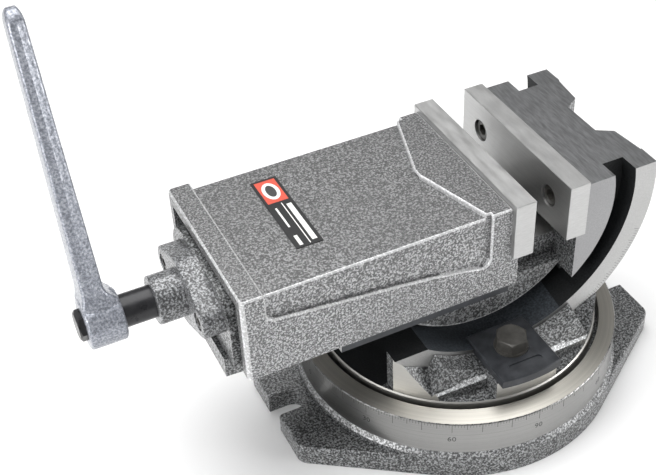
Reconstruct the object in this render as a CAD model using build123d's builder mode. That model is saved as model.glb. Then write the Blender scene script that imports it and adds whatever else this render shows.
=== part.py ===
from build123d import *
from math import sqrt, radians, sin, cos
import os

# Tilting and swivelling machine vise. Millimetres, +Z up.
# Origin: centre of the base's underside, on the swivel axis.
# +X runs along the screw from the crank towards the fixed jaw, Y is the jaw width.

# Driving dimensions
jaw_width = 125.0
jaw_height = 39.9
jaw_thickness = 13.9
jaw_bottom = 132.9
moving_face_x = 17.3
fixed_face_x = 41.2

tilt_z = 154.7
rim_outer_r = 105.8
rim_inner_r = 90.4
groove_inner_r = 75.7
bed_half_width = 60.4
groove_floor_y = 46.8
web_half_width = 30.0
bed_top_z = 169.5
rim_left_end_z = 82.0
block_x = 50.0
ledge_z = 104.0
way_top_z = 120.5
way_half_width = 38.0
way_start_x = -177.0
way_inner_x = -165.0
keeper_chamber_x = -95.0
notch_floor_x = 91.5
hull_r = 79.5
hull_centre_x = -7.0

screw_z = 139.5
screw_journal_r = 10.0
screw_thread_r = 9.0
screw_tip_x = -60.0
nut_left_x = -104.0
nut_seat_x = -82.0

end_plate_x = -174.0
end_plate_t = 9.0
end_plate_half_width = 47.0
end_plate_top_z = 160.0
flange_t = 13.0
flange_screw_y = 29.5
collar_x = -204.0
collar_r = 15.0

hood_start_x = -170.2
hood_head_x = -30.0
hood_seat_x = moving_face_x - jaw_thickness
hood_half_width = 58.7
hood_bottom_z = 109.5
hood_top_z = 169.6
hood_inset = 3.0
hood_wall = 5.2
hood_roof_z = 162.1
strip_half_width = 58.2
strip_inner_y = 47.6
strip_start_x = -111.0
strip_bottom_z = 104.6
cast_round = 1.4

base_plate_h = 14.6
base_round_r = 110.5
base_round_h = 17.5
scale_r = 108.3
scale_bottom_z = 20.9
scale_top_z = 46.4
land_inner_r = 97.4
land_inner_z = 48.5
recess_z = 38.0
ear_x = 136.5
ear_half_width = 44.7
ear_corner_r = 9.0
slot_r = 9.0
slot_centre_x = 123.5
tee_slot_r = 71.0

table_r = 94.3
table_top_z = 51.0
cradle_r = 93.5
saddle_end_x = 75.5
saddle_inner_y = 47.0
saddle_gap = 0.3
cheek_y = bed_half_width + saddle_gap
cheek_foot_y = 79.0
cheek_end_x = 60.0
cheek_end_y = 74.5
cheek_top_r = 93.0
cheek_lean_point = (-49.6, -60.7, 75.7)
cheek_lean = (-0.890, -0.152, 0.430)
facet_lean = (0.314, -0.7265, 0.6106)
clamp_pad_z = 64.0
clamp_pad_x = 22.0
clamp_half_width = 21.0
clamp_inner_y = 51.0
clamp_outer_r = 98.0
clamp_top_z = 70.0

pivot_r = 20.0
pivot_bore_z = 9.0
pivot_pin_z = 10.0
running_gap = 0.05
bolt_r = 6.0
bolt_hole_r = 6.6
screw_hole_gap = 0.05

hub_r = 16.0
hub_front_x = -246.0
hub_back_x = -223.5
hex_flats = 17.0
crank_length = 184.0
crank_lean = 18.0

os.makedirs("parts", exist_ok=True)


def save(part, name):
    part.label = name
    export_step(part, f"parts/{name}.step")


# ---------------------------------------------------------------- base casting
# Round foot with two straight-sided ears, a graduated boss, a recess for the
# swivelling table, a pivot bore and a circular tee slot for the clamp bolts.
with BuildPart() as base:
    # the hull of the round part and the ears' four rounded corners
    with BuildSketch() as foot:
        Circle(base_round_r)
        with GridLocations(2 * (ear_x - ear_corner_r), 2 * (ear_half_width - ear_corner_r), 2, 2):
            Circle(ear_corner_r)
        make_hull(foot.edges())
    extrude(amount=base_plate_h)
    fillet(base.edges().group_by(Axis.Z)[-1], 2.5)
    with BuildSketch(Plane.XZ):
        with BuildLine():
            Polyline((0, 0), (base_round_r, 0), (base_round_r, base_round_h),
                     (scale_r, scale_bottom_z), (scale_r, scale_top_z - 0.6),
                     (scale_r - 0.6, scale_top_z), (land_inner_r, land_inner_z),
                     (land_inner_r, recess_z), (0, recess_z), (0, 0))
        make_face()
    revolve(axis=Axis.Z)
    # blind pivot bore
    with BuildSketch(Plane.XY.offset(recess_z)):
        Circle(pivot_r + running_gap)
    extrude(amount=pivot_bore_z - recess_z, mode=Mode.SUBTRACT)
    # circular tee slot: narrow neck above a wide chamber
    with BuildSketch(Plane.XZ):
        with Locations((tee_slot_r, recess_z - 5)):
            Rectangle(14, 10)
        with Locations((tee_slot_r, 21)):
            Rectangle(25, 14)
    revolve(axis=Axis.Z, mode=Mode.SUBTRACT)
    # open-ended bolt slots in the ears
    with BuildSketch():
        for side in (-1, 1):
            with Locations((side * (slot_centre_x + 15), 0)):
                Rectangle(30, 2 * slot_r)
            with Locations((side * slot_centre_x, 0)):
                Circle(slot_r)
    extrude(amount=base_plate_h, mode=Mode.SUBTRACT)
save(base.part, "base_casting")


# ---------------------------------------------------------------- swivel cradle
# One cheek: its bevelled outer face widens towards the clamp, its end leans back, and a
# three-sided facet runs down from the saddle's corner to the foot of that end.
with BuildPart() as cheek:
    with BuildSketch(Plane.YZ.offset(-cheek_end_x)):
        with BuildLine():
            Polyline((-cheek_y, table_top_z - 1), (-cheek_end_y - 1, table_top_z - 1),
                     (-cheek_end_y - 0.5, 54), (0.4 - cheek_end_y, 56.2),
                     (2.5 - cheek_end_y, 80), (-cheek_y, 80),
                     (-cheek_y, table_top_z - 1))
        make_face()
    with BuildSketch(Plane.YZ.offset(-clamp_pad_x + 1)):
        with BuildLine():
            Polyline((-cheek_y, table_top_z - 1), (-cheek_foot_y - 2, table_top_z - 1),
                     (-cheek_foot_y - 0.6, 58.9), (0.8 - cheek_foot_y, 60.9),
                     (6 - cheek_foot_y, 65.5), (-cheek_y, 65.5),
                     (-cheek_y, table_top_z - 1))
        make_face()
    loft(ruled=True)
    split(bisect_by=Plane(origin=cheek_lean_point, z_dir=cheek_lean), keep=Keep.BOTTOM)
    with BuildSketch(Plane.XY.offset(table_top_z - 1)):
        Circle(cradle_r)
    extrude(amount=40, mode=Mode.INTERSECT)
    with BuildPart() as corner:
        with BuildSketch(Plane.XY.offset(table_top_z - 1)):
            Circle(cradle_r)
            with BuildLine():
                Polyline((-85, 0.1 - cheek_y), (-50, 0.1 - cheek_y), (-57.9, -73.4),
                         (-70, -85), (-85, 0.1 - cheek_y))
            make_face(mode=Mode.INTERSECT)
        extrude(amount=30)
        split(bisect_by=Plane(origin=(-71.1, -cheek_y, 75.9), z_dir=facet_lean), keep=Keep.BOTTOM)

# Turned table with two saddle tracks bored to the rim's radius, sculpted cheeks
# beside them and flat pads for the two clamps.
with BuildPart() as cradle:
    with BuildSketch(Plane.XY.offset(recess_z)):
        Circle(table_r)
    extrude(amount=table_top_z - recess_z)
    chamfer(cradle.edges().group_by(Axis.Z)[-1], 0.8)
    # saddle tracks: turned outside, pocketed between
    with BuildSketch(Plane.XY.offset(table_top_z - 1)):
        Circle(cradle_r)
        Rectangle(2 * saddle_end_x, 2 * cheek_y, mode=Mode.INTERSECT)
        Rectangle(200, 2 * saddle_inner_y, mode=Mode.SUBTRACT)
    extrude(amount=40)
    # cheeks: faceted blocks, one pair each side of the rim
    add(cheek.part)
    add(mirror(cheek.part, Plane.YZ))
    add(mirror(cheek.part, Plane.XZ))
    add(mirror(mirror(cheek.part, Plane.XZ), Plane.YZ))
    # bore for the rim, and the cheeks' hollow tops that fall away outwards
    with BuildSketch(Plane.XZ):
        with Locations((0, tilt_z)):
            Circle(rim_outer_r + saddle_gap)
    extrude(amount=cheek_y, both=True, mode=Mode.SUBTRACT)
    for side in (-1, 1):
        with BuildSketch(Plane((0, side * cheek_y, tilt_z), x_dir=(1, 0, 0), z_dir=(0, side, 0))):
            Circle(cheek_top_r)
        extrude(amount=22, taper=-5, mode=Mode.SUBTRACT)
    # room above the clamps, then the clamp pads themselves
    with BuildSketch(Plane.XY.offset(table_top_z)):
        Rectangle(2 * clamp_pad_x, 200)
        Rectangle(2 * clamp_pad_x, 2 * cheek_y, mode=Mode.SUBTRACT)
    extrude(amount=40, mode=Mode.SUBTRACT)
    with BuildSketch(Plane.XY.offset(table_top_z - 1)):
        Circle(cradle_r)
        Rectangle(2 * clamp_pad_x, 200, mode=Mode.INTERSECT)
        Rectangle(2 * clamp_pad_x, 2 * cheek_y, mode=Mode.SUBTRACT)
    extrude(amount=clamp_pad_z - table_top_z + 1)
    # holes for the pivot pin and the clamp bolts
    with BuildSketch(Plane.XY.offset(recess_z)):
        Circle(pivot_r)
    extrude(amount=8, mode=Mode.SUBTRACT)
    with BuildSketch(Plane.XY.offset(recess_z)):
        with PolarLocations(tee_slot_r, 2, start_angle=90):
            Circle(bolt_hole_r)
    extrude(amount=40, mode=Mode.SUBTRACT)
save(cradle.part, "swivel_cradle")

# Pivot pin, pressed into the cradle and turning in the base
with BuildPart() as pivot_pin:
    with BuildSketch(Plane.XY.offset(pivot_pin_z)):
        Circle(pivot_r)
    extrude(amount=recess_z + 8 - pivot_pin_z)
    chamfer(pivot_pin.edges().group_by(Axis.Z)[0], 1.5)
save(pivot_pin.part, "pivot_pin")

# Tee nuts in the circular slot, one under each clamp
with BuildPart() as tee_nuts:
    with BuildSketch(Plane.XY.offset(16)):
        with PolarLocations(tee_slot_r, 2, start_angle=90):
            Rectangle(20, 26)
            Circle(bolt_r + screw_hole_gap, mode=Mode.SUBTRACT)
    extrude(amount=11.8)
save(tee_nuts.part, "tee_nuts")

# ---------------------------------------------------------------- clamps
# A flat strap with a tongue that presses on the rim's inner face. The far side's
# clamp is the same piece turned half a turn.
with BuildPart() as front_clamp:
    with BuildSketch(Plane.XY.offset(clamp_pad_z)):
        Circle(clamp_outer_r)
        with Locations((0, -clamp_inner_y - 30)):
            Rectangle(2 * clamp_half_width, 60, mode=Mode.INTERSECT)
    extrude(amount=clamp_top_z - clamp_pad_z)
    # underside of the tongue follows the rim
    with BuildSketch(Plane.XZ.offset(clamp_inner_y - 1)):
        with Locations((0, tilt_z)):
            Circle(rim_inner_r + 40)
            Circle(rim_inner_r - 0.25, mode=Mode.SUBTRACT)
    extrude(amount=cheek_y - clamp_inner_y + 1, mode=Mode.SUBTRACT)
    chamfer(front_clamp.edges().group_by(Axis.Z)[-1], 0.6)
    with Locations((0, -tee_slot_r, clamp_top_z)):
        Hole(bolt_hole_r)
    # shallow finger groove near the outer edge
    with BuildSketch(Plane.XY.offset(clamp_top_z)):
        with Locations((0, -88)):
            SlotOverall(24, 5)
    extrude(amount=-0.9, mode=Mode.SUBTRACT)
save(front_clamp.part, "front_clamp_plate")

with BuildPart() as front_washer:
    with BuildSketch(Plane.XY.offset(clamp_top_z)):
        with Locations((0, -tee_slot_r)):
            Circle(11)
            Circle(bolt_hole_r, mode=Mode.SUBTRACT)
    extrude(amount=1.5)
save(front_washer.part, "front_clamp_washer")

# Hexagon bolt down to the tee nut; the head's corners are turned off
bolt_seat_z = clamp_top_z + 1.5
with BuildPart() as front_bolt:
    with BuildSketch(Plane.XY.offset(18)):
        with Locations((0, -tee_slot_r)):
            Circle(bolt_r)
    extrude(amount=bolt_seat_z - 18)
    with BuildSketch(Plane.XY.offset(bolt_seat_z)):
        with Locations((0, -tee_slot_r)):
            RegularPolygon(9.25, 6, major_radius=False)
    extrude(amount=8)
    with BuildSketch(Plane.XZ.offset(tee_slot_r)):
        with BuildLine():
            Polyline((8.9, bolt_seat_z + 9), (8.9, bolt_seat_z + 8), (12, bolt_seat_z + 6.2),
                     (12, bolt_seat_z + 9), (8.9, bolt_seat_z + 9))
        make_face()
    revolve(axis=Axis((0, -tee_slot_r, 0), (0, 0, 1)), mode=Mode.SUBTRACT)
save(front_bolt.part, "front_clamp_bolt")

for piece, name in ((front_clamp, "clamp_plate"), (front_washer, "clamp_washer"),
                    (front_bolt, "clamp_bolt")):
    save(piece.part.rotate(Axis.Z, 180), f"rear_{name}")

# ---------------------------------------------------------------- tilting bed
# One casting: arc-shaped rim, web, rounded hull, ways and the fixed jaw block.
with BuildPart() as bed:
    # rim
    with BuildSketch(Plane.XZ):
        with Locations((0, tilt_z)):
            Circle(rim_outer_r)
            Circle(rim_inner_r, mode=Mode.SUBTRACT)
        with Locations((0, bed_top_z)):
            Rectangle(300, 300, align=(Align.CENTER, Align.MAX), mode=Mode.INTERSECT)
        with Locations((0, rim_left_end_z)):
            Rectangle(200, 200, align=(Align.MAX, Align.MIN), mode=Mode.SUBTRACT)
    extrude(amount=bed_half_width, both=True)
    # narrow web between the hull and the rim
    with BuildSketch(Plane.XZ):
        with Locations((0, tilt_z)):
            Circle(rim_inner_r + 1)
        with Locations((0, ledge_z)):
            Rectangle(300, 200, align=(Align.CENTER, Align.MAX), mode=Mode.INTERSECT)
        with Locations((0, rim_left_end_z)):
            Rectangle(200, 200, align=(Align.MAX, Align.MIN), mode=Mode.SUBTRACT)
    extrude(amount=web_half_width, both=True)
    # hull with rounded lower edges, and the wide web behind the fixed jaw
    with BuildSketch(Plane.XZ):
        with Locations((hull_centre_x, tilt_z)):
            Circle(hull_r)
        with Locations((0, ledge_z)):
            Rectangle(300, 200, align=(Align.CENTER, Align.MAX), mode=Mode.INTERSECT)
        with Locations((block_x, 0)):
            Rectangle(100, 300, align=(Align.MIN, Align.MIN), mode=Mode.SUBTRACT)
    extrude(amount=groove_floor_y, both=True)
    with BuildSketch(Plane.XZ):
        with Locations((0, tilt_z)):
            Circle(rim_inner_r + 1)
        with Locations((block_x, 95)):
            Rectangle(100, bed_top_z - 95, align=(Align.MIN, Align.MIN), mode=Mode.INTERSECT)
    extrude(amount=groove_floor_y, both=True)
    # fixed jaw block with the seat for its plate
    with BuildSketch(Plane.XZ):
        with Locations((0, tilt_z)):
            Circle(groove_inner_r)
        with Locations((block_x, 0)):
            Rectangle(100, bed_top_z, align=(Align.MIN, Align.MIN), mode=Mode.INTERSECT)
    extrude(amount=bed_half_width, both=True)
    with BuildSketch(Plane.XZ):
        with Locations((0, jaw_bottom)):
            Rectangle(fixed_face_x + jaw_thickness, 60, align=(Align.MIN, Align.MIN))
    extrude(amount=70, both=True, mode=Mode.SUBTRACT)
    fillet(bed.edges().filter_by(lambda e: e.geom_type == GeomType.CIRCLE
                                 and abs(e.radius - hull_r) < 0.01
                                 and abs(abs(e.center().Y) - groove_floor_y) < 0.01), 3.0)
    # beam that carries the ways out to the left
    with BuildSketch(Plane.XZ):
        with BuildLine():
            Polyline((way_start_x, 98), (-60, 90), (-30, 90), (-30, way_top_z),
                     (way_inner_x, way_top_z), (way_inner_x, 112), (way_start_x, 112),
                     (way_start_x, 98))
        make_face()
    extrude(amount=way_half_width, both=True)
    # upright end plate that carries the screw's bearing, arched to pass inside the hood
    with BuildSketch(Plane.YZ.offset(end_plate_x)) as arch:
        with BuildLine():
            Polyline((-end_plate_half_width, 112), (-end_plate_half_width, end_plate_top_z),
                     (end_plate_half_width, end_plate_top_z), (end_plate_half_width, 112),
                     (-end_plate_half_width, 112))
        make_face()
        fillet(arch.vertices().group_by(Axis.Y)[-1], 22)
    extrude(amount=end_plate_t)
    with Locations(((block_x - 40) / 2, 0, (ledge_z + way_top_z) / 2)):
        Box(block_x + 40 + 2, 2 * way_half_width, way_top_z - ledge_z)
    # tee slot along the ways for the moving jaw's keeper
    with Locations(((way_inner_x + 46) / 2, 0, way_top_z)):
        Box(46 - way_inner_x, 24, 2 * (way_top_z - 108), mode=Mode.SUBTRACT)
    with Locations(((keeper_chamber_x + 46) / 2, 0, 104)):
        Box(46 - keeper_chamber_x, 44, 8.2, mode=Mode.SUBTRACT)
    # notch in the rim's back, down from the top
    with BuildSketch(Plane.XY.offset(bed_top_z)):
        with BuildLine():
            Polyline((notch_floor_x, -15), (101.5, -21.5), (102.4, -30), (104, -45), (110, -46),
                     (110, 46), (104, 45), (102.4, 30), (101.5, 21.5), (notch_floor_x, 15),
                     (notch_floor_x, -15))
        make_face()
    extrude(amount=-55, mode=Mode.SUBTRACT)
    # bearing bore and thrust recess in the end plate, and tapped holes for the flange
    with BuildSketch(Plane.YZ.offset(end_plate_x)):
        with Locations((0, screw_z)):
            Circle(12)
    extrude(amount=end_plate_t, mode=Mode.SUBTRACT)
    with BuildSketch(Plane.YZ.offset(end_plate_x)):
        with Locations((0, screw_z)):
            with GridLocations(2 * flange_screw_y, 0, 2, 1):
                Circle(3 + screw_hole_gap)
    extrude(amount=8, mode=Mode.SUBTRACT)
    # tapped holes for the fixed jaw plate
    with BuildSketch(Plane.YZ.offset(fixed_face_x + jaw_thickness)):
        with Locations((0, jaw_bottom + jaw_height / 2)):
            with GridLocations(80, 0, 2, 1):
                Circle(4 + screw_hole_gap)
    extrude(amount=13, mode=Mode.SUBTRACT)
save(bed.part, "bed_casting")

# Ground jaw plates, screwed on with two recessed socket cap screws each
plate_screw_y = 40.0
plate_screw_z = jaw_bottom + jaw_height / 2
screw_head_r = 7.0
screw_head_h = 8.0
counterbore_r = 7.5
counterbore_depth = 9.5

for name, x_low, facing in (("fixed_jaw_plate", fixed_face_x, -1),
                            ("moving_jaw_plate", moving_face_x - jaw_thickness, 1)):
    with BuildPart() as jaw_plate:
        with Locations((x_low + jaw_thickness / 2, 0, jaw_bottom + jaw_height / 2)):
            Box(jaw_thickness, jaw_width, jaw_height)
        chamfer(jaw_plate.edges(), 0.4)
        working_x = x_low if facing < 0 else x_low + jaw_thickness
        with Locations(Plane((working_x, 0, plate_screw_z), x_dir=(0, 1, 0), z_dir=(facing, 0, 0))):
            with GridLocations(2 * plate_screw_y, 0, 2, 1):
                CounterBoreHole(4.3, counterbore_r, counterbore_depth)
    save(jaw_plate.part, name)

# Socket cap screws, with a hexagon socket
def cap_screw(origin, direction, head_radius, head_height, shank_radius, shank_length, socket):
    """Cap screw whose seat is at origin and whose head points along direction."""
    seat = Plane(origin, z_dir=direction)
    with BuildPart(seat) as screw:
        Cylinder(head_radius, head_height, align=(Align.CENTER, Align.CENTER, Align.MIN))
        chamfer(screw.edges().filter_by(GeomType.CIRCLE), 0.4)
        Cylinder(shank_radius, shank_length, align=(Align.CENTER, Align.CENTER, Align.MAX))
        with BuildSketch(seat.offset(head_height)):
            RegularPolygon(socket / 2, 6, major_radius=False)
        extrude(amount=-head_height * 0.55, mode=Mode.SUBTRACT)
    return screw.part


def save_screws(name, places, **sizes):
    save(Compound(children=[cap_screw(origin, direction, **sizes) for origin, direction in places]), name)


jaw_screw_sizes = dict(head_radius=screw_head_r, head_height=screw_head_h, shank_radius=4.0,
                       shank_length=16.0, socket=7.0)
for name, seat_x, facing in (
        ("fixed_jaw_screws", fixed_face_x + counterbore_depth, -1),
        ("moving_jaw_screws", moving_face_x - counterbore_depth, 1)):
    save_screws(name, [((seat_x, side * plate_screw_y, plate_screw_z), (facing, 0, 0))
                       for side in (-1, 1)], **jaw_screw_sizes)

# ---------------------------------------------------------------- moving jaw
# Deep hood, open below and at the crank's end, with a solid head at the jaw.
# Both flanks and the long top are sunk a little, so the head and the end strip stand proud.
panel_left_x = -155.0
panel_right_x = -10.5
head_edge_x = -12.0
head_apex_x = -29.0
with BuildPart() as hood:
    with BuildSketch(Plane.XZ.offset(-hood_half_width)):
        with BuildLine():
            Polyline((hood_start_x, hood_bottom_z), (hood_start_x, hood_top_z),
                     (hood_seat_x, hood_top_z), (hood_seat_x, jaw_bottom), (9.3, jaw_bottom),
                     (9.3, hood_bottom_z), (hood_start_x, hood_bottom_z))
        make_face()
    extrude(amount=2 * hood_half_width)
    fillet(hood.edges().filter_by(Axis.Z).group_by(Axis.X)[0], 3)
    # sunk top, bounded towards the head by a shallow vee
    with BuildSketch(Plane.XY.offset(hood_top_z)):
        with BuildLine():
            Polyline((-155.5, -60), (-155.5, 60), (head_edge_x, 60), (head_apex_x, 3),
                     (head_apex_x, -3), (head_edge_x, -60), (-155.5, -60))
        make_face()
    extrude(amount=-hood_inset, mode=Mode.SUBTRACT)
    # sunk flanks above a ledge that falls towards the jaw
    for side in (-1, 1):
        with BuildSketch(Plane.XZ.offset(-side * hood_half_width)) as panel:
            with BuildLine():
                ledge = Spline((panel_left_x + 6, 149.6), (-110.7, 145.2), (-58.8, 139.4),
                               (panel_right_x - 7, 131.6))
                Polyline(ledge @ 1, (panel_right_x, 130), (panel_right_x, 175),
                         (panel_left_x, 175), (panel_left_x, 150), ledge @ 0)
            make_face()
            fillet(panel.vertices().group_by(Axis.Z)[0], 5)
        extrude(amount=side * hood_inset, mode=Mode.SUBTRACT)
    # rounded casting edges: the top, the flanks' ledges and the sunk top's sides
    fillet(hood.edges().filter_by(
        lambda e: e.center().Z > hood_top_z - 0.05
        or (abs(abs(e.center().Y) - hood_half_width) < 0.05
            and abs(e.center().X - panel_left_x / 2) < 80 and e.center().Z > hood_bottom_z + 2)
        or (abs(e.center().Z - hood_top_z + hood_inset) < 0.05
            and abs(abs(e.center().Y) - hood_half_width + hood_inset) < 0.1)), cast_round)
    # hollow over the screw, and the clearance over the ways
    inner_half_width = hood_half_width - hood_inset - hood_wall
    with Locations(((hood_start_x - 10 + hood_head_x) / 2, 0, (hood_bottom_z - 10 + hood_roof_z) / 2)):
        Box(hood_head_x - hood_start_x + 10, 2 * inner_half_width, hood_roof_z - hood_bottom_z + 10,
            mode=Mode.SUBTRACT)
    with Locations((0, 0, hood_bottom_z)):
        Box(2 * abs(hood_start_x) + 20, 2 * way_half_width + 0.6, 2 * (way_top_z + 0.3 - hood_bottom_z),
            mode=Mode.SUBTRACT)
    # cross wall that holds the nut
    with Locations((nut_seat_x + 4, 0, (121.2 + hood_roof_z + 1) / 2)):
        Box(8, 2 * inner_half_width + 2, hood_roof_z + 1 - 121.2)
    with BuildSketch(Plane.YZ.offset(nut_seat_x)):
        with Locations((0, screw_z)):
            Circle(11)
            with GridLocations(38, 0, 2, 1):
                Circle(2.5 + screw_hole_gap)
    extrude(amount=8, mode=Mode.SUBTRACT)
    # room for the screw's tip in the head
    with BuildSketch(Plane.YZ.offset(hood_head_x)):
        with Locations((0, screw_z)):
            Circle(11)
    extrude(amount=hood_seat_x - hood_head_x, mode=Mode.SUBTRACT)
    # tapped holes for the jaw plate
    with BuildSketch(Plane.YZ.offset(hood_seat_x)):
        with Locations((0, plate_screw_z)):
            with GridLocations(2 * plate_screw_y, 0, 2, 1):
                Circle(4 + screw_hole_gap)
    extrude(amount=-13, mode=Mode.SUBTRACT)
    # tapped holes for the keeper, up from the head's underside
    with BuildSketch(Plane.XY.offset(way_top_z + 0.3)):
        with Locations((-13, 0)):
            with GridLocations(22, 0, 2, 1):
                Circle(2.5 + screw_hole_gap)
    extrude(amount=7, mode=Mode.SUBTRACT)
save(hood.part, "moving_jaw_casting")

# Strips under the hood's skirts, passing either side of the end plate
with BuildPart() as strips:
    for side in (-1, 1):
        with Locations(((strip_start_x + hood_seat_x) / 2,
                        side * (strip_inner_y + strip_half_width) / 2,
                        (strip_bottom_z + hood_bottom_z) / 2)):
            Box(hood_seat_x - strip_start_x, strip_half_width - strip_inner_y,
                hood_bottom_z - strip_bottom_z)
save(strips.part, "jaw_strips")

# Keeper in the ways' tee slot; it holds the moving jaw down
with BuildPart() as keeper:
    with Locations((-13, 0, (107.9 + way_top_z + 0.3) / 2)):
        Box(34, 23.8, way_top_z + 0.3 - 107.9)
    with Locations((-13, 0, 104.4)):
        Box(34, 43.6, 7)
    with Locations((-13, 0, 100.9)):
        with GridLocations(22, 0, 2, 1):
            with Locations(Rotation(180, 0, 0)):
                CounterBoreHole(2.8, 5, 4)
save(keeper.part, "jaw_keeper")
save_screws("keeper_screws", [((-24 + 22 * i, 0, 104.9), (0, 0, -1)) for i in range(2)],
            head_radius=4.5, head_height=3.5, shank_radius=2.5, shank_length=22.0, socket=3.0)

# Nut in the hood
with BuildPart() as nut:
    with BuildSketch(Plane.YZ.offset(nut_left_x)):
        with Locations((0, screw_z)):
            Circle(14)
    extrude(amount=nut_seat_x - nut_left_x)
    with BuildSketch(Plane.YZ.offset(nut_seat_x - 7)) as nut_flange:
        with Locations((0, screw_z)):
            Rectangle(52, 24)
            fillet(nut_flange.vertices(), 6)
    extrude(amount=7)
    with BuildSketch(Plane.YZ.offset(nut_left_x)):
        with Locations((0, screw_z)):
            Circle(screw_thread_r + running_gap)
            with GridLocations(38, 0, 2, 1):
                Circle(2.8)
    extrude(amount=nut_seat_x - nut_left_x, mode=Mode.SUBTRACT)
save(nut.part, "screw_nut")
save_screws("nut_screws", [((nut_seat_x - 7, side * 19, screw_z), (-1, 0, 0)) for side in (-1, 1)],
            head_radius=4.5, head_height=5.0, shank_radius=2.5, shank_length=13.0, socket=4.0)

# Plain plate on the hood's top
with BuildPart() as name_plate:
    with BuildSketch(Plane.XY.offset(hood_top_z - hood_inset)) as plate_outline:
        with Locations((-113.9, 7)):
            Rectangle(17.2, 70)
            fillet(plate_outline.vertices(), 1)
    extrude(amount=0.5)
save(name_plate.part, "name_plate")

# ---------------------------------------------------------------- screw and bearing
flange_x = end_plate_x - flange_t
with BuildPart() as flange:
    # two lobes and a round middle
    with BuildSketch(Plane.YZ.offset(flange_x)) as lobes:
        with Locations((0, screw_z)):
            Circle(22)
            with GridLocations(2 * flange_screw_y, 0, 2, 1):
                Circle(10.5)
        make_hull(lobes.edges())
    extrude(amount=flange_t)
    fillet(flange.edges().group_by(Axis.X)[0], 1.5)
    with BuildSketch(Plane.YZ.offset(collar_x)):
        with Locations((0, screw_z)):
            Circle(collar_r)
    extrude(amount=flange_x - collar_x + 1)
    fillet(flange.edges().group_by(Axis.X)[0], 1)
    with BuildSketch(Plane.YZ.offset(collar_x)):
        with Locations((0, screw_z)):
            Circle(screw_journal_r + running_gap)
    extrude(amount=end_plate_x - collar_x, mode=Mode.SUBTRACT)
    with BuildSketch(Plane.YZ.offset(flange_x)):
        with Locations((0, screw_z)):
            with GridLocations(2 * flange_screw_y, 0, 2, 1):
                Circle(3.4)
    extrude(amount=flange_t, mode=Mode.SUBTRACT)
    with BuildSketch(Plane.YZ.offset(flange_x)):
        with Locations((0, screw_z)):
            with GridLocations(2 * flange_screw_y, 0, 2, 1):
                Circle(5.6)
    extrude(amount=6.6, mode=Mode.SUBTRACT)
save(flange.part, "bearing_flange")
save_screws("flange_screws", [((flange_x + 6.6, side * flange_screw_y, screw_z), (-1, 0, 0))
                              for side in (-1, 1)],
            head_radius=5.0, head_height=6.0, shank_radius=3.0, shank_length=14.0, socket=5.0)

# Lead screw: hexagon end, journal, thrust collar seat, thread
thrust_face_x = end_plate_x + end_plate_t
with BuildPart() as lead_screw:
    with BuildSketch(Plane.YZ.offset(hub_back_x)):
        with Locations((0, screw_z)):
            Circle(screw_journal_r)
    extrude(amount=thrust_face_x - hub_back_x + 3)
    with BuildSketch(Plane.YZ.offset(thrust_face_x)):
        with Locations((0, screw_z)):
            Circle(screw_thread_r)
    extrude(amount=screw_tip_x - thrust_face_x)
    chamfer(lead_screw.edges().group_by(Axis.X)[-1], 1.5)
    with BuildSketch(Plane.YZ.offset(hub_front_x - 4)):
        with Locations((0, screw_z)):
            RegularPolygon(hex_flats / 2, 6, major_radius=False)
    extrude(amount=hub_back_x - hub_front_x + 4)
    with BuildSketch(Plane.XZ):
        with BuildLine():
            Polyline((-255, screw_z + 8), (-250, screw_z + 8), (-247, screw_z + 12),
                     (-255, screw_z + 12), (-255, screw_z + 8))
        make_face()
    revolve(axis=Axis((0, 0, screw_z), (1, 0, 0)), mode=Mode.SUBTRACT)
save(lead_screw.part, "lead_screw")

# Thrust ring, pinned on the screw behind the end plate
with BuildPart() as thrust_ring:
    with BuildSketch(Plane.YZ.offset(thrust_face_x + 0.1)):
        with Locations((0, screw_z)):
            Circle(13.5)
            Circle(screw_journal_r + 0.02, mode=Mode.SUBTRACT)
    extrude(amount=2.9)
save(thrust_ring.part, "thrust_ring")

# ---------------------------------------------------------------- crank
lean = radians(crank_lean)
arm_dir = Vector(0, sin(lean), cos(lean))
arm_x = -237.2
ridge_rise = 0.06


def arm_section(distance, thickness, width):
    """Six-sided section across the arm, with a ridge on each narrow side."""
    centre = Vector(arm_x, 0, screw_z) + arm_dir * distance
    plane = Plane(centre, x_dir=(1, 0, 0), z_dir=arm_dir)
    edge = width * (0.5 - ridge_rise)
    with BuildSketch(plane) as section:
        with BuildLine():
            Polyline((-thickness / 2, -edge), (0, -width / 2), (thickness / 2, -edge),
                     (thickness / 2, edge), (0, width / 2), (-thickness / 2, edge),
                     (-thickness / 2, -edge))
        make_face()
    return section.sketch


arm_stations = ((0, 14.0, 28.0), (crank_length - 8, 10.0, 17.5), (crank_length - 3, 9.0, 14.0),
                (crank_length, 6.0, 8.0))
with BuildPart() as crank:
    for near, far in zip(arm_stations, arm_stations[1:]):
        loft(sections=[arm_section(*near), arm_section(*far)])
    with BuildSketch(Plane.YZ.offset(hub_front_x)):
        with Locations((0, screw_z)):
            Circle(hub_r)
    extrude(amount=hub_back_x - hub_front_x)
    fillet(crank.edges().filter_by(GeomType.CIRCLE).group_by(Axis.X)[-1], 1.2)
    with BuildSketch(Plane.YZ.offset(hub_front_x)):
        with Locations((0, screw_z)):
            RegularPolygon(hex_flats / 2 + 0.08, 6, major_radius=False)
    extrude(amount=hub_back_x - hub_front_x, mode=Mode.SUBTRACT)
save(crank.part, "crank_handle")
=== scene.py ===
import math
import bpy
import numpy as np
from mathutils import Matrix, Vector


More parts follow.
